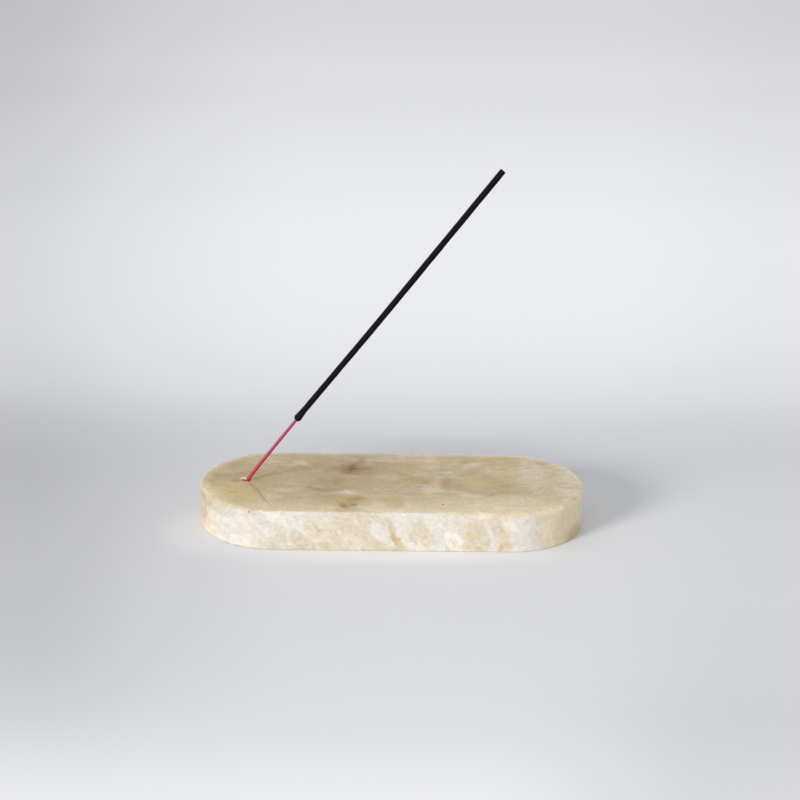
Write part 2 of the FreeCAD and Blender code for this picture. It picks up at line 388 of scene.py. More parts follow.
TOP_INCLUSIONS = (
    Inclusion(Mineral.TAN, (-74, 8, 21), (28, 20, 8), 0.7),
    Inclusion(Mineral.MILK, (-50, 3, 21), (10, 12, 14), 0.2),
    Inclusion(Mineral.UMBER, (-20, 3, 21), (24, 15, 10), 0.4, 1.4),
    Inclusion(Mineral.HONEY, (-85, -20, 21), (18, 17, 8), 0.9, turn=-40),
    Inclusion(Mineral.HONEY, (-40, -36, 21), (26, 6, 5), 0.5),
    Inclusion(Mineral.HONEY, (42, -35, 21), (34, 6, 5), 0.4),
    Inclusion(Mineral.UMBER, (-17, 17, 21), (12, 11, 8), 0.5, 1.4, turn=15),
    Inclusion(Mineral.STAIN, (-21.5, 16.5, 21), (5.5, 7.5, 8), 0.5, 1.3, turn=10),
    Inclusion(Mineral.STAIN, (-21.4, 17, 21), (2.2, 5.0, 5), 0.75, 1.1, turn=-8),
    Inclusion(Mineral.STAIN, (-24, 12, 21), (2.6, 2.0, 5), 0.55, 1.1, turn=20),
    Inclusion(Mineral.STAIN, (-16.6, 16.6, 21), (5.0, 1.5, 5), 0.4, 1.1, turn=12),
    Inclusion(Mineral.STAIN, (-19.8, 21.5, 21), (1.3, 3.0, 5), 0.5, 1.1, turn=-20),
    Inclusion(Mineral.UMBER, (-16, 30, 21), (2.4, 10, 5), 0.5, turn=-6),
    Inclusion(Mineral.MILK, (-21, 6.4, 21), (5.5, 0.8, 3), 0.35),
    Inclusion(Mineral.OCHRE, (-22.5, -25, 20), (11, 7, 9), 0.85, 1.0),
    Inclusion(Mineral.UMBER, (-18, -23, 20), (5, 2.6, 9), 0.6, 1.0, turn=20),
    Inclusion(Mineral.UMBER, (-22.5, -31, 21), (5, 4, 2), 0.45, turn=20),
    Inclusion(Mineral.STAIN, (-24, -32, 21), (1.6, 2.6, 2), 0.6, turn=25),
    Inclusion(Mineral.STAIN, (-19.5, -30.5, 21), (2.0, 1.5, 2), 0.5, turn=35),
    Inclusion(Mineral.OCHRE, (1.5, -26, 21), (5, 8, 6), 0.6, 1.0),
    Inclusion(Mineral.MILK, (-23, -15.5, 21), (7, 4, 3), 0.35),
    Inclusion(Mineral.MILK, (74, 1, 21), (12, 9, 6), 0.4),
    Inclusion(Mineral.UMBER, (-35, -3, 21), (7, 5, 6), 0.35),
    Inclusion(Mineral.UMBER, (-53, -26, 21), (7, 5, 6), 0.3),
    Inclusion(Mineral.SNOW, (-22.6, -14.6, 21), (1.6, 3.2, 3), 0.9, turn=20),
    Inclusion(Mineral.SNOW, (-26, -15.2, 21), (2.2, 1.3, 3), 0.6),
    Inclusion(Mineral.SNOW, (-19.6, -16.6, 21), (1.8, 1.0, 3), 0.5),
    Inclusion(Mineral.UMBER, (27.5, 12, 21), (2, 22, 5), 0.35, 1.4, turn=3),
    Inclusion(Mineral.MILK, (21, 29, 21), (4, 10, 8), 0.5, 1.4),
    Inclusion(Mineral.MILK, (43, 23, 21), (6, 2.6, 6), 0.7, 1.4, turn=40),
    Inclusion(Mineral.HONEY, (62, 36, 21), (22, 5, 6), 0.6, turn=-8),
    Inclusion(Mineral.MILK, (74, 14, 21), (9, 16, 9), 0.7),
    Inclusion(Mineral.MILK, (93, -7, 21), (7, 24, 9), 0.8),
    Inclusion(Mineral.MILK, (21, -8, 21), (3.6, 8, 6), 0.75, turn=-20),
    Inclusion(Mineral.MILK, (66, -22, 21), (10, 8, 6), 0.5, turn=30),
    Inclusion(Mineral.MILK, (80, -13, 21), (7, 6, 6), 0.7),
    Inclusion(Mineral.MILK, (2, 33, 21), (17, 6, 6), 0.5, turn=-6),
    Inclusion(Mineral.MILK, (32, 25, 21), (24, 12, 6), 0.3, 1.4),
    Inclusion(Mineral.MILK, (-27, 35, 21), (9, 5, 6), 0.4),
    # Painted glow along the front edge.
    Inclusion(Mineral.EDGE_GLOW, (47, -33, 21), (14, 5, 4), 0.6),
    Inclusion(Mineral.TAN, (61, 32, 21), (9, 6, 6), 0.6),
    Inclusion(Mineral.MILK, (58, 16, 21), (8, 6, 6), 0.35),
    Inclusion(Mineral.MILK, (-3, 5, 21), (8, 5, 6), 0.3),
    Inclusion(Mineral.UMBER, (14, -25, 21), (7, 5, 6), 0.3),
    Inclusion(Mineral.STAIN, (-80.8, -0.8, 21), (2.4, 0.9, 2), 0.5),
    # Painted glow along the left front edge.
    Inclusion(Mineral.EDGE_GLOW, (-94, -17, 21), (17, 5, 4), 0.6, turn=-58),
    Inclusion(Mineral.MILK, (85, 20, 21), (7, 7, 6), 0.5),
    Inclusion(Mineral.MILK, (-67, 25, 21), (8, 6, 6), 0.45),
    Inclusion(Mineral.UMBER, (-37, -28, 21), (7, 4, 6), 0.4),
    Inclusion(Mineral.UMBER, (-22, -37, 21), (7, 3, 4), 0.35),
    Inclusion(Mineral.UMBER, (-32, -12, 21), (5, 4, 6), 0.35),
    Inclusion(Mineral.UMBER, (-34, -21, 21), (6, 5, 6), 0.35),
    Inclusion(Mineral.OCHRE, (54, -4, 21), (7, 9, 5), 0.4, 1.3),
    Inclusion(Mineral.VEIN, (-67.6, -17.6, 21), (15, 0.8, 4), 0.5, 1.6, turn=-65.8),
    # Painted light: a white patch on the hole's far wall, lit through its mouth.
    Inclusion(Mineral.FROST, (-77.4, 1.8, 20), (2.0, 1.5, 3), 1.0, 0.6),
    Inclusion(Mineral.SOOT, (25.7, -28.6, 21), (0.5, 0.8, 0.6), 0.7, 1.0),
    Inclusion(Mineral.SOOT, (77, -6.4, 21), (0.5, 0.9, 0.6), 0.7, 1.0),
)

WALL_INCLUSIONS = (
    Inclusion(Mineral.SNOW, (-72, -38, 14), (13, 8, 12), 0.6, 1.0, dip=20),
    Inclusion(Mineral.PEARL, (-68, -39, 16.5), (8, 5, 4), 0.5, 1.0, dip=8),
    Inclusion(Mineral.FAWN, (-98, -12, 10), (12, 22, 16), 0.8, 0.9),
    # Partly the stone's tan and partly painted shade: the far left end and its top edge are darkened.
    Inclusion(Mineral.SAND_AND_SHADE, (-99, -11, 13), (7, 15, 10), 0.6, 1.0),
    Inclusion(Mineral.SAND_AND_SHADE, (-90, -27, 19), (15, 7, 4.6), 0.7, 1.0, turn=-50),
    Inclusion(Mineral.SAND_AND_SHADE, (-75, -37.5, 20.5), (9, 5, 2.2), 0.4, 1.0, turn=-15),
    Inclusion(Mineral.PEARL, (-84, -31, 9), (11, 13, 15), 0.75, 0.9),
    Inclusion(Mineral.FROST, (-55, -40, 16), (9, 5, 2.6), 0.4, 0.7, dip=18),
    Inclusion(Mineral.FAWN, (-67, -39, 7), (5, 5, 4), 0.45, 0.8, dip=60),
    Inclusion(Mineral.FAWN, (-57.5, -40, 3.5), (6, 5, 5), 0.4, 0.4, dip=104),
    Inclusion(Mineral.SNOW, (-48, -40, 12), (8, 5, 2.4), 0.95, 0.35, dip=48),
    Inclusion(Mineral.FAWN, (-44, -40, 4.5), (9, 5, 3.8), 0.65, 0.35, dip=44),
    Inclusion(Mineral.SNOW, (-34, -40, 16.5), (7, 5, 2.2), 0.8, 0.9, dip=44),
    Inclusion(Mineral.OCHRE, (-38.4, -40, 13), (4.6, 4, 0.8), 0.6, 1.0, dip=44),
    Inclusion(Mineral.OCHRE, (-33, -40, 2.6), (4.5, 5, 1.6), 0.55, 1.1, dip=20),
    Inclusion(Mineral.VEIN, (-24, -40, 15.6), (3.6, 4, 0.9), 0.4, dip=-28),
    Inclusion(Mineral.CREAM, (-21, -40, 9), (12, 5, 8), 0.7, 0.8, dip=50),
    Inclusion(Mineral.FAWN, (-47, -40, 1), (6, 5, 2.4), 0.7, 0.9),
    Inclusion(Mineral.FAWN, (-30, -40, 1.5), (5, 5, 3.4), 0.75, 0.8),
    Inclusion(Mineral.SNOW, (-41, -40, 17), (6, 5, 2.5), 0.6, 0.9, dip=40),
    Inclusion(Mineral.SNOW, (-6, -40, 10), (8, 5, 2.4), 0.35, 0.5, dip=56),
    Inclusion(Mineral.FAWN, (-14, -40, 16.5), (5, 5, 2.6), 0.5, 0.7, dip=50),
    Inclusion(Mineral.FAWN, (-0.6, -40, 12.5), (6, 4, 1.6), 0.8, 0.8, dip=66),
    Inclusion(Mineral.OCHRE, (2.6, -40, 6), (5, 4, 1.9), 0.8, 0.9, dip=58),
    Inclusion(Mineral.SNOW, (7, -40, 15), (8, 5, 4), 0.7, 0.9, dip=30),
    Inclusion(Mineral.CREAM, (15, -40, 9), (9, 5, 5), 0.7, 0.8, dip=58),
    Inclusion(Mineral.FAWN, (-10, -40, 1.5), (5, 5, 2.4), 0.6, 0.8),
    Inclusion(Mineral.HONEY, (37.5, -40, 8), (5, 5, 3), 0.5, 0.8, dip=60),
    Inclusion(Mineral.FROST, (31.5, -40, 4.5), (8, 5, 3.6), 0.42, 0.35, dip=62),
    Inclusion(Mineral.FAWN, (43, -40, 9.5), (10, 5, 5.6), 0.6, 0.4, dip=68),
    Inclusion(Mineral.OCHRE, (40, -40, 1.6), (5, 5, 1.6), 0.5, 1.1, dip=10),
    Inclusion(Mineral.FAWN, (36, -40, 20.5), (9, 5, 1.6), 0.55, 1.0),
    Inclusion(Mineral.FAWN, (-18, -40, 20.5), (7, 5, 1.6), 0.55, 1.0),
    Inclusion(Mineral.FAWN, (53, -40, 11), (10, 5, 3), 0.6, 0.9, dip=76),
    Inclusion(Mineral.OCHRE, (56, -40, 2.6), (3, 5, 1.4), 0.5, 1.1, dip=-40),
    Inclusion(Mineral.SNOW, (59, -40, 16), (7, 5, 2.6), 0.6, 0.9, dip=60),
    Inclusion(Mineral.SNOW, (67, -39, 7), (9, 5, 2.8), 0.85, 0.7, dip=52),
    # Painted glow over the right end's own tan, where the lamp doesn't reach.
    Inclusion(Mineral.BUFF_AND_GLOW, (98, -12, 10), (29, 42, 24), 1.0, 0.5),
    Inclusion(Mineral.SNOW, (77, -37, 3), (6, 6, 3), 0.6, 0.9, dip=30),
    Inclusion(Mineral.SNOW, (66, -40, 1), (6, 5, 2.4), 1.0, 0.9),
    Inclusion(Mineral.FAWN, (58, -40, 20), (9, 5, 2), 0.65, 1.0),
    Inclusion(Mineral.OCHRE, (5, -40, 1.2), (4, 5, 2), 0.45, 1.0),
    Inclusion(Mineral.SNOW, (71, -38.5, 5.5), (4, 5, 3), 0.6, 0.8, dip=50),
    Inclusion(Mineral.UMBER, (95, -20, 1.5), (7, 10, 5), 0.5),
    Inclusion(Mineral.SOOT, (-71.4, -38.4, 20), (0.45, 0.6, 0.8), 0.85, 0.8),
)


class Calcite(Material):
    """The slab's stone: honed on top, sawn and frosted on its walls, with darker minerals through it."""

    BEDDING = Vector((0.34, 0.86, 0.38)).normalized()
    CRYSTAL = 7 * MM
    FACET = 2.0 * MM
    SCATTER_REACH = (7 * MM, 5.6 * MM, 4.2 * MM)

    def __init__(self) -> None:
        """Starts the material, and finds what its patterns share.

        Each point has its polish, its distance in from the wall, its place pushed about a little and more,
        the streaks of the honed face, its place to the back, and how lively its grain is.
        """
        super().__init__("calcite")
        self.polish = self.add("ShaderNodeAttribute", attribute_name="polish").outputs["Fac"]
        self.inset = self.add("ShaderNodeAttribute", attribute_name="inset").outputs["Fac"]
        self.gentle = self.warped(self.place, 10 * MM, 2.2 * MM, 1.0)
        self.ragged = self.warped(self.gentle, 2.4 * MM, 0.6 * MM, 2.0)
        drawn_out = self.vector("MULTIPLY", self.gentle, (0.42, 1.0, 1.0))
        self.streaks = self.clouds(drawn_out, 2.6 * MM, 12.0, detail=4.0, roughness=0.6)
        self.back = self.part(self.place, "Y")
        self.lively = self.ramp(self.part(self.place, "X"), 60 * MM, 78 * MM, 1.0, 0.3)

    def build(self) -> bpy.types.Material:
        """Wires colour, gloss and relief together.

        Returns:
            The material.
        """
        wandering = self.warped(self.place, 28 * MM, 6 * MM, 3.0)
        blotches = self.clouds(self.ragged, 3.2 * MM, 4.0, detail=4.0)
        streaky = self.ramp(self.streaks, 0.34, 0.64, 0.65, 1.0)
        blotchy = self.ramp(blotches, 0.3, 0.66, 0.55, 1.0)
        top = self.include(self.top_colour(wandering), TOP_INCLUSIONS, self.gentle, streaky)
        wall = self.include(self.wall_colour(wandering), WALL_INCLUSIONS, self.ragged, blotchy)
        # Painted glow: milk laid near the edges towards the back, for light that comes through the stone.
        painted_glow_near_edges = self.ramp(self.inset, 0.5 * MM, 7 * MM, 0.65, 0.0)
        painted_back_edge_glow = self.times(painted_glow_near_edges, self.ramp(self.back, -22 * MM, 8 * MM))
        top = self.mix(painted_back_edge_glow, top, Mineral.MILK.value)
        # The sawn finish shows on the arrises, partly its own colour and partly painted glow: its band
        # widens towards the back to pale the back edge.
        edge = self.clouds(self.place, 3.2 * MM, 5.0, detail=4.0)
        deep = self.ramp(self.back, -10 * MM, 25 * MM, 4.0 * MM, 6.5 * MM)
        lip = self.ramp(self.inset, 0.1 * MM, self.ramp(edge, 0.3, 0.7, 1.6 * MM, deep))
        self.set(
            base_color=self.grain(self.mix(lip, wall, top)),
            roughness=self.ramp(self.polish, 0.1, 0.9, 0.66, 0.42),
            normal=self.relief(),
            subsurface_weight=0.4,
            subsurface_radius=self.SCATTER_REACH,
            subsurface_scale=1.0,
            ior=1.5,
        )
        return self.material

    def top_colour(self, at: Socket) -> Socket:
        """Tan, beige and milky clouds on the honed face, with a painted glow that pales it towards the lit
        front.

        Args:
            at: The place, pushed about so that the clouds wander.

        Returns:
            The colour.
        """
        def share(size: float, seed: float, low: float, high: float, most: float) -> Socket:
            """How far clouds of this size cover the stone."""
            cloud = self.clouds(drawn, size, seed, detail=4.0, roughness=0.55)
            return self.ramp(cloud, low, high, 0.0, most)

        drawn = self.vector("MULTIPLY", at, (0.55, 1.0, 1.0))
        colour = self.mix(share(30 * MM, 6.0, 0.4, 0.62, 1.0), Mineral.TAN.value, Mineral.BEIGE.value)
        colour = self.mix(share(16 * MM, 9.0, 0.52, 0.7, 0.5), colour, Mineral.HONEY.value)
        colour = self.mix(share(10 * MM, 8.0, 0.5, 0.7, 0.6), colour, Mineral.UMBER.value)
        colour = self.mix(share(9 * MM, 7.0, 0.52, 0.7, 0.75), colour, Mineral.MILK.value)
        # Painted glow: the top pales towards its front edge, for light that comes in through the front
        # wall.
        return self.mix(self.ramp(self.back, -40 * MM, -8 * MM, 0.85, 0.0), colour, Mineral.EDGE_GLOW.value)

    def wall_colour(self, at: Socket) -> Socket:
        """White and cream crystal blades, which lie along the bedding, on the sawn walls.

        Args:
            at: The place, pushed about so that the blades wander.

        Returns:
            The colour.
        """
        crystal = self.cells(self.along_bedding(at, 2.4), self.CRYSTAL)
        soft = self.clouds(self.along_bedding(at, 2.0), 6 * MM, 10.0, detail=5.0, roughness=0.6)
        colour = self.mix(self.ramp(crystal, 0.3, 0.8, 0.15, 0.8), Mineral.SNOW.value, Mineral.CREAM.value)
        return self.mix(self.ramp(soft, 0.45, 0.7, 0.0, 0.42), colour, Mineral.FAWN.value)

    def along_bedding(self, at: Socket, stretch: float) -> Socket:
        """A place squeezed along the bedding, so that what is looked up there is drawn out in its planes.

        Args:
            at: The place.
            stretch: How many times longer the planes are than they are thick.

        Returns:
            The squeezed place.
        """
        depth = self.measure("DOT_PRODUCT", at, tuple(self.BEDDING))
        across = self.scaled(tuple(self.BEDDING), self.times(depth, stretch - 1.0))
        return self.scaled(self.vector("ADD", at, across), 1 / math.sqrt(stretch))

    def include(self, colour: Socket, inclusions: Sequence[Inclusion], at: Socket,
                mottle: Socket) -> Socket:
        """Lays inclusions over the stone, one after the other.

        Args:
            colour: The stone's colour.
            inclusions: The patches.
            at: The place, pushed about so that the patches get ragged edges.
            mottle: How far the patches cover at each point, from 0 to 1. Stains are broken up more.

        Returns:
            The colour with the patches in it.
        """
        crumbs = self.clouds(self.ragged, 1.7 * MM, 15.0, detail=3.0, roughness=0.6)
        broken = self.ramp(crumbs, 0.34, 0.62, 0.35, 1.0)
        for inclusion in inclusions:
            feeds = {
                "Vector": at,
                "Location": tuple(value * MM for value in inclusion.centre),
                "Rotation": (0.0, math.radians(inclusion.dip), math.radians(inclusion.turn)),
                "Scale": tuple(value * MM for value in inclusion.reach),
            }
            local = self.add("ShaderNodeMapping", feeds, vector_type="TEXTURE").outputs["Vector"]
            half = inclusion.softness / 2
            cover = self.ramp(self.measure("LENGTH", local), 1 - half, 1 + half, inclusion.strength, 0.0)
            patchy = broken if inclusion.mineral is Mineral.STAIN else mottle
            colour = self.mix(self.times(cover, patchy), colour, inclusion.mineral.value)
        return colour

    def grain(self, colour: Socket) -> Socket:
        """Adds the crystals' fine fibres and facets on the walls, and soft streaks and specks on the top.

        Args:
            colour: The stone's colour.

        Returns:
            The colour with its grain.
        """
        fibrous = self.along_bedding(self.ragged, 5.0)
        fibre = self.clouds(fibrous, 1.5 * MM, 11.0, detail=4.0, roughness=0.65)
        facet = self.cells(self.along_bedding(self.gentle, 0.6), self.FACET)
        rise = self.times(self.ramp(fibre, 0.3, 0.7, -0.09, 0.06), self.lively)
        shift = self.times(self.ramp(facet, 0.0, 1.0, -0.04, 0.04), self.lively)
        wall = self.plus(rise, shift, 1.0)
        speckle = self.clouds(self.gentle, 1.2 * MM, 16.0, detail=2.0, roughness=0.5)
        honed = self.ramp(self.streaks, 0.28, 0.72, 0.93, 1.07)
        top = self.plus(honed, self.ramp(speckle, 0.3, 0.7, -0.08, 0.08))
        light = self.add("ShaderNodeMix", {0: self.polish, 2: wall, 3: top}, data_type="FLOAT").outputs[0]
        return self.mix(1.0, colour, light, "MULTIPLY")

    def relief(self) -> Socket:
        """Crystal facets on the walls and a faint unevenness on the honed face.

        Returns:
            The normal.
        """
        facets = self.clouds(self.along_bedding(self.ragged, 3.0), 1.2 * MM, 13.0, detail=4.0)
        rough = self.clouds(self.place, 0.6 * MM, 14.0, detail=3.0)
        sawn = self.times(self.minus(1.0, self.polish), self.lively)
        walls = self.bump(self.times(facets, sawn), 0.26 * MM)
        return self.bump(rough, 0.02 * MM, walls)


@dataclass
class StoneSlab:
    """The slab: a stadium of stone with worn arrises and the slanted hole.

    Attributes:
        low: Lowest corner of its place.
        high: Highest corner of its place.
        edge: Easing of its arrises.
        soft_edge: Extra easing at the worn stretches of the front arris.
        worn_from: Where that stretch begins, along X.
        round_ends: How far from the middle the wear at the other end begins, along -X.
        step: Spacing of the mesh.
        hole_radius: The drilled hole.
        hole_depth: Its depth along its axis.
        hole_lean: Its axis off vertical, towards +X.
        hole_inset: The slab's end to the middle of the mouth.
    """

    low: Vector
    high: Vector
    edge: float = 0.8 * MM
    soft_edge: float = 1.8 * MM
    worn_from: float = 10 * MM
    round_ends: float = 60 * MM
    step: float = 0.85 * MM
    hole_radius: float = 2 * MM
    hole_depth: float = 14.5 * MM
    hole_lean: float = math.radians(30)
    hole_inset: float = 24 * MM

    ARC_STEPS = 6
    FLAT_STEPS = 14
    BOTTOM_EDGE = 0.8 * MM
    WEAR_FADE = 18 * MM
    ARRIS_REACH = 2.2 * MM
    POLISH_RISE, POLISH_LAG = 2.4, 0.9
    SHARP = math.radians(38)
    DRILL_SIDES = 56
    CHIPPED_SIDE = math.radians(120)

    def __post_init__(self) -> None:
        """Works out the outline's radius, its straight half length and the thickness."""
        self.radius = (self.high.y - self.low.y) / 2
        self.half_run = (self.high.x - self.low.x) / 2 - self.radius
        self.thickness = self.high.z - self.low.z

    def build(self) -> bpy.types.Object:
        """Makes the stone's mesh, weathers it and drills the hole.

        Returns:
            The finished piece.
        """
        piece = link_piece("stone_slab_dressed", self.block())
        self.weathering().attach(piece)
        drill = link_piece("drill", self.drill())
        cut = piece.modifiers.new("hole", "BOOLEAN")
        cut.object = drill
        cut.operation = "DIFFERENCE"
        cut.solver = "EXACT"
        make_plain(piece)
        bpy.data.objects.remove(drill)
        piece.data.set_sharp_from_angle(angle=self.SHARP)
        return piece

    def stations(self) -> tuple[np.ndarray, np.ndarray]:
        """Points on the slab's middle line, one for each column of the mesh, and the ways out from them.

        Returns:
            The points and the outward directions, in plan.
        """
        along = round(2 * self.half_run / self.step)
        round_end = round(math.pi * self.radius / self.step)
        run = np.linspace(-self.half_run, self.half_run, along, endpoint=False)
        end = np.full(round_end, self.half_run)
        side = np.full(along, math.pi / 2)
        turn = np.linspace(-math.pi / 2, math.pi / 2, round_end, endpoint=False)
        x = np.concatenate((run, end, -run, -end))
        angle = np.concatenate((-side, turn, side, turn + math.pi))
        middle = np.stack((x, np.zeros_like(x)), axis=1)
        return middle, np.stack((np.cos(angle), np.sin(angle)), axis=1)

    def easing(self, middle: np.ndarray, outward: np.ndarray) -> np.ndarray:
        """Eases the top arris, more where the front is worn.

        Args:
            middle: Points on the slab's middle line.
            outward: The ways out from them.

        Returns:
            The arris's radius at each column.
        """
        x = middle[:, 0] + self.radius * outward[:, 0]
        worn = np.clip(np.maximum(x - self.worn_from, -x - self.round_ends) / self.WEAR_FADE, 0, 1)
        worn = worn * worn * (3 - 2 * worn) * np.clip(0.4 - outward[:, 1], 0, 1)
        return self.edge + self.soft_edge * worn

    def rings(self, top: np.ndarray) -> list[tuple[np.ndarray, np.ndarray, float]]:
        """The section, from the middle of the underside round to the middle of the top face.

        Args:
            top: The top arris's radius at each column.

        Returns:
            For each ring, its inset from the wall and its height at each column, and its polish.
        """
        low = np.full_like(top, self.BOTTOM_EDGE)
        flat = np.zeros_like(top)
        turns = np.linspace(0, math.pi / 2, self.ARC_STEPS)
        rings = [(self.radius + (low - self.radius) * share, flat, 0.0)
                 for share in np.linspace(0, 1, self.FLAT_STEPS)[:-1]]
        rings += [(low * (1 - math.sin(turn)), low * (1 - math.cos(turn)), 0.0) for turn in turns]
        rise = self.thickness - top - low
        rings += [(flat, low + rise * share, 0.0)
                  for share in np.linspace(0, 1, round(self.thickness / self.step))[1:-1]]
        rings += [(top * (1 - math.cos(turn)), self.thickness - top * (1 - math.sin(turn)),
                   max(0.0, min(1.0, self.POLISH_RISE * math.sin(turn) - self.POLISH_LAG)))
                  for turn in turns]
        rings += [(top + (self.radius - top) * share, flat + self.thickness, 1.0)
                  for share in np.linspace(0, 1, round(self.radius / self.step))[1:]]
        return rings

    def block(self) -> bpy.types.Mesh:
        """The stone before it is weathered, as closed rings of faces.

        Returns:
            A mesh with its polish, nearness to an arris and distance in from the wall as attributes.
        """
        middle, outward = self.stations()
        rings = self.rings(self.easing(middle, outward))
        inset, height = (np.stack([ring[field] for ring in rings]) for field in (0, 1))
        polish = np.repeat([ring[2] for ring in rings], len(middle))
        to_arris = inset + np.minimum(height, self.thickness - height)
        arris = np.exp(-(to_arris / self.ARRIS_REACH) ** 2)
        plan = middle + outward * (self.radius - inset)[..., None]
        points = np.concatenate((plan, self.low.z + height[..., None]), axis=2)
        here = np.arange(inset.size).reshape(inset.shape)
        following = np.roll(here, -1, axis=1)
        faces = np.stack((here[:-1], following[:-1], following[1:], here[1:]), axis=2)
        mesh = bpy.data.meshes.new("stone_block")
        mesh.from_pydata(points.reshape(-1, 3).tolist(), [], faces.reshape(-1, 4).tolist())
        for name, field in (("polish", polish), ("arris", arris), ("inset", inset)):
            layer = mesh.attributes.new(name, "FLOAT", "POINT").data
            layer.foreach_set("value", field.ravel().astype(np.float32))
        shape = bmesh.new()
        shape.from_mesh(mesh)
        bmesh.ops.remove_doubles(shape, verts=shape.verts, dist=0.001 * MM)
        shape.to_mesh(mesh)
        shape.free()
        return mesh

    def weathering(self) -> Recipe:
        """Wears the stone: faint waves on its faces, chips on its arrises and pits in its walls.

        Returns:
            The tree that does it.
        """
        recipe = Recipe(
            "weathered_stone", wave_depth=0.12 * MM, wave_size=22 * MM, chip_depth=0.9 * MM,
            chip_size=5 * MM, pit_depth=0.22 * MM, pit_size=2.4 * MM, seed=3.0, material=Calcite().build(),
        )
        given = recipe.inputs
        position = recipe.add("GeometryNodeInputPosition").outputs[0]
        normal = recipe.add("GeometryNodeInputNormal").outputs[0]

        def attribute(name: str) -> Socket:
            """A number that the block carries at each point."""
            kind = "GeometryNodeInputNamedAttribute"
            return recipe.add(kind, {"Name": name}, data_type="FLOAT").outputs[0]

        def bite(mark: str, low: float, high: float, detail: float) -> Socket:
            """How deep noise bites, by the inputs for this kind of mark."""
            pattern = recipe.clouds(position, given[f"{mark}_size"], given["seed"], detail=detail)
            return recipe.times(recipe.ramp(pattern, low, high), given[f"{mark}_depth"])

        off_base = recipe.ramp(recipe.part(position, "Z"), 0.0, 2 * MM)
        spared = recipe.ramp(recipe.part(position, "Y"), -25 * MM, 5 * MM, 1.0, 0.15)
        waves = bite("wave", 0.25, 0.75, 2.0)
        pits = recipe.times(bite("pit", 0.35, 0.8, 3.0), recipe.minus(1.0, attribute("polish")))
        chips = recipe.times(bite("chip", 0.55, 0.78, 3.0), recipe.times(attribute("arris"), spared))
        inward = recipe.scaled(normal, recipe.times(recipe.plus(waves, pits, chips), off_base, -1.0))
        moved = recipe.add("GeometryNodeSetPosition", {"Geometry": given["Geometry"], "Offset": inward})
        recipe.close(moved.outputs[0])
        return recipe

    def drill(self) -> bpy.types.Mesh:
        """What the hole takes out: a slanted rod, flared and ragged where it breaks the top face.

        Returns:
            A closed mesh.
        """
        lean = self.hole_lean
        axis = Vector((math.sin(lean), 0, math.cos(lean)))
        side = Vector((math.cos(lean), 0, -math.sin(lean)))
        mouth = Vector((self.low.x + self.hole_inset, 0, self.high.z))
        bore = np.linspace(-self.hole_depth, -4 * MM, 12)
        flared = np.linspace(-3.6 * MM, 4 * MM, 20)
        shape = bmesh.new()
        rows = []
        for level in (*bore, *flared):
            row = []
            for step in range(self.DRILL_SIDES):
                angle = 2 * math.pi * step / self.DRILL_SIDES
                x, y = math.cos(angle), math.sin(angle)
                height = level - self.hole_radius * math.tan(lean) * x
                flare = math.exp(min(height, 0.6 * MM) / (0.7 * MM))
                ragged = 0.5 + noise.noise(Vector((3 * x, 3 * y, level / (2 * MM))))
                back = max(0.0, math.cos(angle - self.CHIPPED_SIDE))
                reach = self.hole_radius + flare * (0.1 + 0.12 * max(ragged, 0) + 0.5 * back) * MM
                row.append(shape.verts.new(mouth + axis * level + (side * x + Vector((0, y, 0))) * reach))
            rows.append(row)
        for below, above in zip(rows, rows[1:]):
            for step in range(self.DRILL_SIDES):
                shape.faces.new((below[step], below[step - 1], above[step - 1], above[step]))
        shape.faces.new(rows[0])
        shape.faces.new(rows[-1])
        bmesh.ops.recalc_face_normals(shape, faces=shape.faces)
        mesh = bpy.data.meshes.new("drill")
        shape.to_mesh(mesh)
        shape.free()
        for name in ("polish", "inset"):
            mesh.attributes.new(name, "FLOAT", "POINT")
        return mesh


class DyedBamboo(Material):
    """The splint's finish: bamboo fibres soaked in pink dye, redder towards the foot, its end cut raw."""

    CORAL = linear(166, 36, 50)
    MAGENTA = linear(158, 10, 82)
    RAW = linear(224, 180, 140)

    def __init__(self, foot: Vector, axis: Vector, bare: float) -> None:
        """Knows where the splint stands.

        Args:
            foot: The splint's lower end.
            axis: The way that it points.
            bare: The length of it that shows.
        """
        super().__init__("dyed_bamboo")
        self.foot = tuple(foot)
        self.axis = tuple(axis)
        self.bare = bare

    def build(self) -> bpy.types.Material:
        """Wires dye, fibres and gloss.

        Returns:
            The material.
        """
        away = self.vector("SUBTRACT", self.place, self.foot)
        along = self.measure("DOT_PRODUCT", away, self.axis)
        squeeze = self.scaled(self.axis, self.times(along, -0.97))
        fibres = self.clouds(self.vector("ADD", away, squeeze), 0.22 * MM, 1.0, detail=3.0)
        dye = self.mix(self.ramp(along, 0.2 * self.bare, self.bare), self.CORAL, self.MAGENTA)
        dyed = self.mix(1.0, dye, self.ramp(fibres, 0.25, 0.75, 0.72, 1.2), "MULTIPLY")
        self.set(
            base_color=self.mix(self.ramp(along, 0.05 * MM, 0.5 * MM, 0.75, 0.0), dyed, self.RAW),
            roughness=self.ramp(fibres, 0.3, 0.7, 0.62, 0.45),
            normal=self.bump(fibres, 0.05 * MM),
        )
        return self.material


class IncensePaste(Material):
    """The paste's finish: matte charcoal powder and gum, with a few paler grains."""

    CHARCOAL = linear(9, 9, 10)
    DUST = linear(29, 27, 27)

    def build(self) -> bpy.types.Material:
        """Wires the paste's colour, dullness and grain.

        Returns:
            The material.
        """
        grains = self.clouds(self.place, 0.35 * MM, 1.0, detail=4.0, roughness=0.7)
        rolled = self.clouds(self.place, 5 * MM, 2.0, detail=2.0)
        dusty = self.times(self.ramp(grains, 0.55, 0.75), self.ramp(rolled, 0.3, 0.7, 0.25, 0.8))
        self.set(
            base_color=self.mix(dusty, self.CHARCOAL, self.DUST),
            roughness=self.ramp(rolled, 0.3, 0.7, 0.82, 0.95),
            normal=self.bump(grains, 0.12 * MM),
            specular_ior_level=0.15,
        )
        return self.material


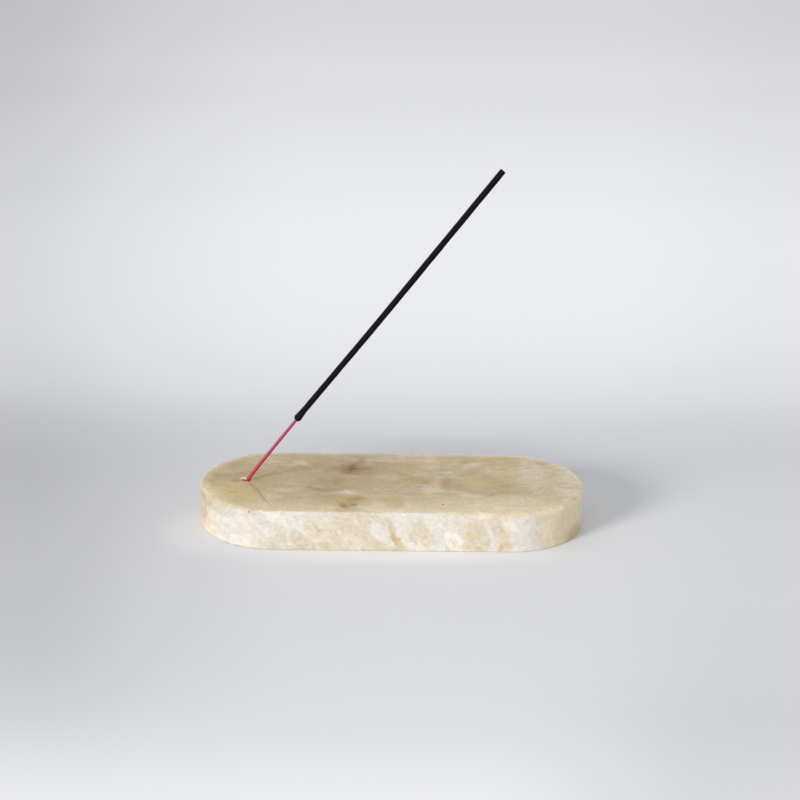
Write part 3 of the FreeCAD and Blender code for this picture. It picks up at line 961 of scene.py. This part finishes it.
@dataclass
class IncenseStick:
    """The stick: a bamboo splint and the paste rolled on it.

    Attributes:
        middle: Middle of the splint.
        axis: The way that the stick points, from its foot.
        core_length: The splint.
        core_radius: The splint.
        bare_length: The splint below the paste.
        coat_length: The paste, to the tip.
        coat_radius: The paste.
        foot_radius: The paste at its blunt lower end.
        foot_length: The taper there.
        foot_bulge: How far the paste stands proud above the taper.
        tip_radius: Rounding of the tip.
        thick_end: How much stouter the splint is just above the hole.
        bow: How far the stick sags out of a straight line, at most.
    """

    middle: Vector
    axis: Vector
    core_length: float = 220.8 * MM
    core_radius: float = 0.80 * MM
    bare_length: float = 57 * MM
    coat_length: float = 165 * MM
    coat_radius: float = 1.60 * MM
    foot_radius: float = 1.4 * MM
    foot_length: float = 0.9 * MM
    foot_bulge: float = 0.34 * MM
    tip_radius: float = 0.5 * MM
    thick_end: float = 0.20 * MM
    bow: float = 0.66 * MM

    GRAIN = 0.07 * MM
    CORE_SIDES, COAT_SIDES = 24, 36
    BULGE_FADE = 8 * MM

    def __post_init__(self) -> None:
        """Works out where the foot, the paste's lower end and the tip are."""
        self.foot = self.middle - self.axis * self.core_length / 2
        self.coat_start = self.foot + self.axis * self.bare_length
        self.tip = self.coat_start + self.axis * self.coat_length

    def build_core(self) -> bpy.types.Object:
        """Makes the splint.

        Returns:
            The finished piece.
        """
        recipe = Recipe(
            "split_bamboo", start=self.foot, end=self.foot + self.axis * self.core_length,
            radius=self.core_radius, thick_end=self.thick_end, chamfer=0.25 * MM, spacing=0.3 * MM,
            fibre_depth=0.07 * MM, fibre_width=0.3 * MM, fibre_stretch=40.0, seed=5.0,
            material=DyedBamboo(self.foot, self.axis, self.bare_length).build(),
        )
        given = recipe.inputs
        path, along, length = self.lay_path(recipe)
        from_end = recipe.math("MINIMUM", along, recipe.minus(length, along))
        blunt = recipe.ramp(from_end, 0.0, given["chamfer"], 0.72, 1.0)
        sunk = recipe.ramp(along, 0.17 * self.bare_length, 0.27 * self.bare_length, 0.2, 1.0)
        tapered = recipe.ramp(along, 0.3 * self.bare_length, self.bare_length, given["thick_end"], 0.0)
        radius = recipe.times(blunt, recipe.plus(given["radius"], recipe.times(sunk, tapered)))
        recipe.close(self.press_in(recipe, self.sweep(recipe, path, radius, self.CORE_SIDES), "fibre"))
        return self.run(recipe, "bamboo_core_dressed")

    def build_coat(self) -> bpy.types.Object:
        """Makes the paste.

        Returns:
            The finished piece.
        """
        recipe = Recipe(
            "rolled_paste", start=self.coat_start, end=self.tip - self.axis * 2 * self.GRAIN,
            radius=self.coat_radius, foot_radius=self.foot_radius, foot_length=self.foot_length,
            foot_bulge=self.foot_bulge, tip_radius=self.tip_radius, spacing=0.28 * MM,
            lump_depth=0.09 * MM, lump_width=2.6 * MM, lump_stretch=2.2, grain_size=self.GRAIN,
            grain_density=2.4e6, grain_seed=11, seed=7.0, material=IncensePaste("incense_paste").build(),
        )
        given = recipe.inputs
        path, along, length = self.lay_path(recipe)
        proud = recipe.ramp(along, given["foot_length"], self.BULGE_FADE, given["foot_bulge"], 0.0)
        full = recipe.plus(given["radius"], proud)
        swell = recipe.ramp(along, 0.0, given["foot_length"], given["foot_radius"], full)
        into_tip = recipe.minus(along, recipe.minus(length, given["tip_radius"]))
        share = recipe.math("DIVIDE", recipe.math("MAXIMUM", into_tip, 0.0), given["tip_radius"])
        square = recipe.math("MINIMUM", recipe.times(share, share), 1.0)
        drop = recipe.minus(1.0, recipe.math("SQRT", recipe.minus(1.0, square)))
        radius = recipe.minus(swell, recipe.times(drop, given["tip_radius"]))
        rolled = self.press_in(recipe, self.sweep(recipe, path, radius, self.COAT_SIDES), "lump")
        joined = recipe.add("GeometryNodeJoinGeometry")
        for layer in (rolled, self.scatter_grains(recipe, rolled)):
            recipe.feed(joined.inputs[0], layer)
        recipe.close(joined.outputs[0])
        return self.run(recipe, "incense_coat_dressed")

    def lay_path(self, recipe: Recipe) -> tuple[Socket, Socket, Socket]:
        """Lays the stick's line, with its slight sag, from the recipe's start to its end.

        Args:
            recipe: The tree, with its start, end and spacing.

        Returns:
            The line, the length along it at each point, and its whole length.
        """
        given = recipe.inputs
        line = recipe.add("GeometryNodeCurvePrimitiveLine", {"Start": given["start"], "End": given["end"]})
        feeds = {"Curve": line.outputs[0], "Length": given["spacing"]}
        path = recipe.add("GeometryNodeResampleCurve", feeds, mode="LENGTH").outputs[0]
        position = recipe.add("GeometryNodeInputPosition").outputs[0]
        up = recipe.measure("DISTANCE", position, tuple(self.foot))
        rise = recipe.ramp(up, 0.0, 0.5 * self.bare_length)
        fall = recipe.ramp(up, self.bare_length, self.bare_length + 0.45 * self.coat_length, 1.0, 0.0)
        sag = recipe.times(rise, fall, self.bow)
        aside = Vector((-self.axis.z, 0.0, self.axis.x))
        feeds = {"Geometry": path, "Offset": recipe.scaled(tuple(aside), sag)}
        bent = recipe.add("GeometryNodeSetPosition", feeds).outputs[0]
        along = recipe.add("GeometryNodeSplineParameter").outputs["Length"]
        return bent, along, recipe.measure("DISTANCE", given["start"], given["end"])

    @staticmethod
    def sweep(recipe: Recipe, path: Socket, radius: Socket, sides: int) -> Socket:
        """Sweeps a round section along the line.

        Args:
            recipe: The tree.
            path: The line.
            radius: The section's radius at each of its points.
            sides: Points round the section.

        Returns:
            A tube with closed ends.
        """
        section = recipe.add("GeometryNodeCurvePrimitiveCircle", {"Resolution": sides, "Radius": 1.0})
        feeds = {"Curve": path, "Profile Curve": section.outputs[0], "Scale": radius, "Fill Caps": True}
        return recipe.add("GeometryNodeCurveToMesh", feeds).outputs[0]

    def press_in(self, recipe: Recipe, tube: Socket, mark: str) -> Socket:
        """Presses noise that is drawn out along the stick into a tube.

        Args:
            recipe: The tree, with inputs for the marks' width, depth and stretch.
            tube: The tube.
            mark: What those inputs call the marks.

        Returns:
            The marked tube.
        """
        given = recipe.inputs
        position = recipe.add("GeometryNodeInputPosition").outputs[0]
        normal = recipe.add("GeometryNodeInputNormal").outputs[0]
        away = recipe.vector("SUBTRACT", position, given["start"])
        along = recipe.measure("DOT_PRODUCT", away, tuple(self.axis))
        shorter = recipe.minus(recipe.math("DIVIDE", 1.0, given[f"{mark}_stretch"]), 1.0)
        squeeze = recipe.scaled(tuple(self.axis), recipe.times(along, shorter))
        squeezed = recipe.vector("ADD", away, squeeze)
        pattern = recipe.clouds(squeezed, given[f"{mark}_width"], given["seed"], detail=3.0)
        deep = recipe.times(recipe.ramp(pattern, 0.3, 0.72), given[f"{mark}_depth"])
        feeds = {"Geometry": tube, "Offset": recipe.scaled(normal, recipe.times(deep, -1.0))}
        return recipe.add("GeometryNodeSetPosition", feeds).outputs[0]

    @staticmethod
    def scatter_grains(recipe: Recipe, surface: Socket) -> Socket:
        """Scatters powder grains on the paste.

        Args:
            recipe: The tree.
            surface: The paste.

        Returns:
            The grains.
        """
        given = recipe.inputs
        feeds = {"Mesh": surface, "Density": given["grain_density"], "Seed": given["grain_seed"]}
        spread = recipe.add("GeometryNodeDistributePointsOnFaces", feeds)
        ball = recipe.add("GeometryNodeMeshIcoSphere", {"Radius": given["grain_size"], "Subdivisions": 1})
        feeds = {2: 0.4, 3: 1.0, "Seed": given["grain_seed"]}
        size = recipe.add("FunctionNodeRandomValue", feeds, data_type="FLOAT")
        feeds = {"Points": spread.outputs["Points"], "Instance": ball.outputs[0],
                 "Rotation": spread.outputs["Rotation"], "Scale": size.outputs[1]}
        return recipe.add("GeometryNodeInstanceOnPoints", feeds).outputs[0]

    @staticmethod
    def run(recipe: Recipe, name: str) -> bpy.types.Object:
        """Runs a tree that starts from nothing.

        Args:
            recipe: The tree.
            name: The piece's name.

        Returns:
            The piece, as a plain mesh.
        """
        piece = link_piece(name, bpy.data.meshes.new(name))
        recipe.attach(piece)
        return make_plain(piece)


@dataclass(frozen=True)
class Viewpoint:
    """The photograph's camera.

    Attributes:
        eye: Where it stands.
        azimuth: The way it looks, turned from +Y towards -X about Z.
        pitch: How far it looks down.
        roll: How far it leans.
        focal_px: Its focal length, in pixels of the image.
        image_px: The image's width.
    """

    eye: Vector = Vector((-5.68 * MM, -674.81 * MM, 308.05 * MM))
    azimuth: float = math.radians(-0.776)
    pitch: float = math.radians(19.714)
    roll: float = math.radians(0.977)
    focal_px: float = 1400.0
    image_px: float = 800.0

    def build(self) -> bpy.types.Object:
        """Makes the camera and hands it to the scene.

        Returns:
            The camera.
        """
        ahead = Vector((-math.sin(self.azimuth) * math.cos(self.pitch),
                        math.cos(self.azimuth) * math.cos(self.pitch), -math.sin(self.pitch)))
        level = Vector((math.cos(self.azimuth), math.sin(self.azimuth), 0))
        upright = level.cross(ahead)
        right = level * math.cos(self.roll) + upright * math.sin(self.roll)
        up = upright * math.cos(self.roll) - level * math.sin(self.roll)
        lens = bpy.data.cameras.new("camera")
        lens.sensor_width = 36.0
        lens.lens = lens.sensor_width * self.focal_px / self.image_px
        lens.clip_start = 0.01
        camera = bpy.data.objects.new("camera", lens)
        turned = Matrix((right, up, -ahead)).transposed().to_4x4()
        camera.matrix_world = Matrix.Translation(self.eye) @ turned
        bpy.context.scene.collection.objects.link(camera)
        bpy.context.scene.camera = camera
        return camera


@dataclass
class Studio:
    """The pale paper sweep that the object stands on, and its soft light.

    Attributes:
        half_width: The sweep's half width.
        front: Where the paper begins, along Y.
        back: Where it begins to curve up.
        bend: The radius of the curve from floor to wall.
        wall_height: The sweep's height.
        sky: Strength of the even light all round.
        key_strength: Strength of the window light.
        key_spread: How wide the window looks from the object.
        key_from: The way to it.
    """

    half_width: float = 4.0
    front: float = -4.0
    back: float = 0.9
    bend: float = 1.2
    wall_height: float = 1.8
    sky: float = 0.75
    key_strength: float = 3.25
    key_spread: float = math.radians(17)
    key_from: Vector = Vector((-0.738, -0.619, 0.267))

    PALE = linear(248, 249, 252)
    WHITE = (1.0, 1.0, 1.0, 1.0)
    BLACK = (0.0, 0.0, 0.0, 1.0)
    BEND_STEPS = 24
    CAMERA_BACK = 0.7
    NEAREST = -0.3
    PICTURE_EDGE = 0.27

    # Painted light and shade on the paper, as places and its brightness there: along Y, sideways as the
    # camera sees it, and along Y again at the left and the right of the picture.
    DEPTH_STEPS = ((-0.25, 0.95), (-0.20, 0.84), (-0.13, 0.79), (0.0, 0.77), (0.11, 0.72), (0.19, 0.825),
                   (0.28, 0.90), (0.45, 0.94), (0.8, 0.925), (1.0, 0.857), (1.22, 0.72), (1.36, 0.65),
                   (1.5, 0.58))
    SIDE_STEPS = ((-0.27, 0.82), (-0.20, 0.90), (-0.107, 0.975), (0.0, 1.0), (0.107, 1.0), (0.18, 0.99),
                  (0.27, 0.95))
    LEFT_STEPS = ((-0.25, 0.99), (-0.17, 1.0), (-0.06, 0.94), (0.03, 0.9), (0.11, 0.95), (0.25, 1.0),
                  (0.8, 0.96), (1.5, 0.93))
    RIGHT_STEPS = ((-0.25, 0.82), (-0.17, 0.94), (-0.09, 1.0), (0.25, 1.0))

    # Painted light and shade in soft patches beside the object: glow before it and at its left, shade
    # behind it. Each has its middle, half sizes and change of brightness.
    PAINTED_LIGHT_PATCHES = ((0.0, -0.042, 0.09, 0.014, 0.085), (0.015, 0.1, 0.09, 0.026, -0.06),
               (-0.1, -0.018, 0.022, 0.028, 0.07))

    def build(self) -> None:
        """Makes the sweep, the world and the lamp."""
        scene = bpy.context.scene
        scene.view_settings.view_transform = "Standard"
        self.sweep()
        self.light_sky(scene)
        self.light_key(scene)

    def sweep(self) -> bpy.types.Object:
        """The seamless floor and wall.

        Returns:
            The piece.
        """
        # The points on the flat keep its shading level as far as the bend.
        profile = [(self.front, 0.0), (-1.0, 0.0), (0.0, 0.0)]
        for turn in np.linspace(0, math.pi / 2, self.BEND_STEPS):
            profile.append((self.back + self.bend * math.sin(turn), self.bend * (1 - math.cos(turn))))
        profile.append((self.back + self.bend, self.wall_height))
        shape = bmesh.new()
        left, right = ([shape.verts.new((x, y, z)) for y, z in profile]
                       for x in (-self.half_width, self.half_width))
        for corners in zip(left, right, right[1:], left[1:]):
            shape.faces.new(corners)
        mesh = bpy.data.meshes.new("sweep")
        shape.to_mesh(mesh)
        shape.free()
        mesh.polygons.foreach_set("use_smooth", [True] * len(mesh.polygons))
        mesh.materials.append(self.paper())
        return link_piece("sweep", mesh)

    def paper(self) -> bpy.types.Material:
        """The sweep's pale paper, with painted shade beside and behind the object and painted glow before
        it and at its left.

        Returns:
            The material.
        """
        wiring = Material("paper_sweep")
        across = wiring.add("ShaderNodeSeparateXYZ", {0: wiring.place}).outputs
        reach = wiring.plus(wiring.math("MAXIMUM", across["Y"], self.NEAREST), self.CAMERA_BACK)
        depth = self.steps(wiring, across["Y"], self.DEPTH_STEPS)
        aside = wiring.math("DIVIDE", across["X"], reach)
        near_front = wiring.ramp(across["Y"], -0.26, -0.14, 1.0, 0.0)
        side = wiring.mix(near_front, self.steps(wiring, aside, self.SIDE_STEPS), self.WHITE)
        shade = wiring.times(depth, side)
        # Painted shade towards the left and right of the picture.
        for steps, edge in ((self.LEFT_STEPS, -self.PICTURE_EDGE), (self.RIGHT_STEPS, self.PICTURE_EDGE)):
            near = wiring.ramp(wiring.math("DIVIDE", aside, edge), 0.2, 1.0)
            painted_side_shade = wiring.mix(near, self.WHITE, self.steps(wiring, across["Y"], steps))
            shade = wiring.times(shade, painted_side_shade)
        # Painted light and shade in soft patches.
        for x, y, wide, long, change in self.PAINTED_LIGHT_PATCHES:
            feeds = {"Vector": wiring.place, "Location": (x, y, 0.0), "Scale": (wide, long, 1.0)}
            local = wiring.add("ShaderNodeMapping", feeds, vector_type="TEXTURE").outputs["Vector"]
            painted_light = wiring.ramp(wiring.measure("LENGTH", local), 0.3, 1.3, change, 0.0)
            shade = wiring.plus(shade, painted_light)
        colour = wiring.mix(shade, self.BLACK, self.PALE)
        wiring.set(base_color=colour, roughness=0.9, specular_ior_level=0.1)
        return wiring.material

    @staticmethod
    def steps(wiring: Material, place: Socket, steps: Sequence[tuple[float, float]]) -> Socket:
        """A smooth line through levels set along one way.

        Args:
            wiring: The material.
            place: How far along.
            steps: Each place and the level there.

        Returns:
            The level.
        """
        start, end = steps[0][0], steps[-1][0]
        feeds = {"Value": place, "From Min": start, "From Max": end}
        share = wiring.add("ShaderNodeMapRange", feeds).outputs["Result"]
        curve = wiring.add("ShaderNodeValToRGB", {"Fac": share})
        curve.color_ramp.interpolation = "CARDINAL"
        stops = curve.color_ramp.elements
        while len(stops) < len(steps):
            stops.new(0.5)
        for stop, (where, level) in zip(stops, steps):
            stop.position = (where - start) / (end - start)
            stop.color = (level, level, level, 1.0)
        return curve.outputs["Color"]

    def light_sky(self, scene: bpy.types.Scene) -> None:
        """Gives the scene its even light.

        Args:
            scene: The scene.
        """
        world = bpy.data.worlds.new("sky")
        world.use_nodes = True
        shade = world.node_tree.nodes["Background"]
        shade.inputs["Color"].default_value = linear(242, 243, 245)
        shade.inputs["Strength"].default_value = self.sky
        scene.world = world

    def light_key(self, scene: bpy.types.Scene) -> None:
        """Hangs the window light.

        Args:
            scene: The scene.
        """
        lamp = bpy.data.lights.new("window", "SUN")
        lamp.energy = self.key_strength
        lamp.angle = self.key_spread
        lamp.color = linear(255, 253, 250)[:3]
        window = bpy.data.objects.new("window", lamp)
        window.rotation_euler = self.key_from.normalized().to_track_quat("Z", "Y").to_euler()
        scene.collection.objects.link(window)


def place(piece: bpy.types.Object, node: str, body: str, slot: str) -> None:
    """Puts a dressed piece in the place of a CAD node, and reports it.

    Args:
        piece: The piece.
        node: The node that it stands for.
        body: The body that it moves with.
        slot: The record's material slot for the piece; not used.
    """
    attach(piece, body)
    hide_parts(node)
    LOG.info("%s stands for %s, with %d faces", piece.name, node, len(piece.data.polygons))


def main() -> None:
    """Builds the object, its light and its camera."""
    logging.basicConfig(level=logging.INFO, format="%(name)s: %(message)s")
    slab = StoneSlab(*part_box("stone_slab"))
    place(slab.build(), "stone_slab", "slab", "stone")
    low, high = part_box("bamboo_core")
    stick = IncenseStick((low + high) / 2, Vector(frame["joints"][0]["axis"]).normalized())
    place(stick.build_core(), "bamboo_core", "stick", "dyed_bamboo")
    place(stick.build_coat(), "incense_coat", "stick", "incense_paste")
    Studio().build()
    Viewpoint().build()


if __name__ == "__main__":
    main()
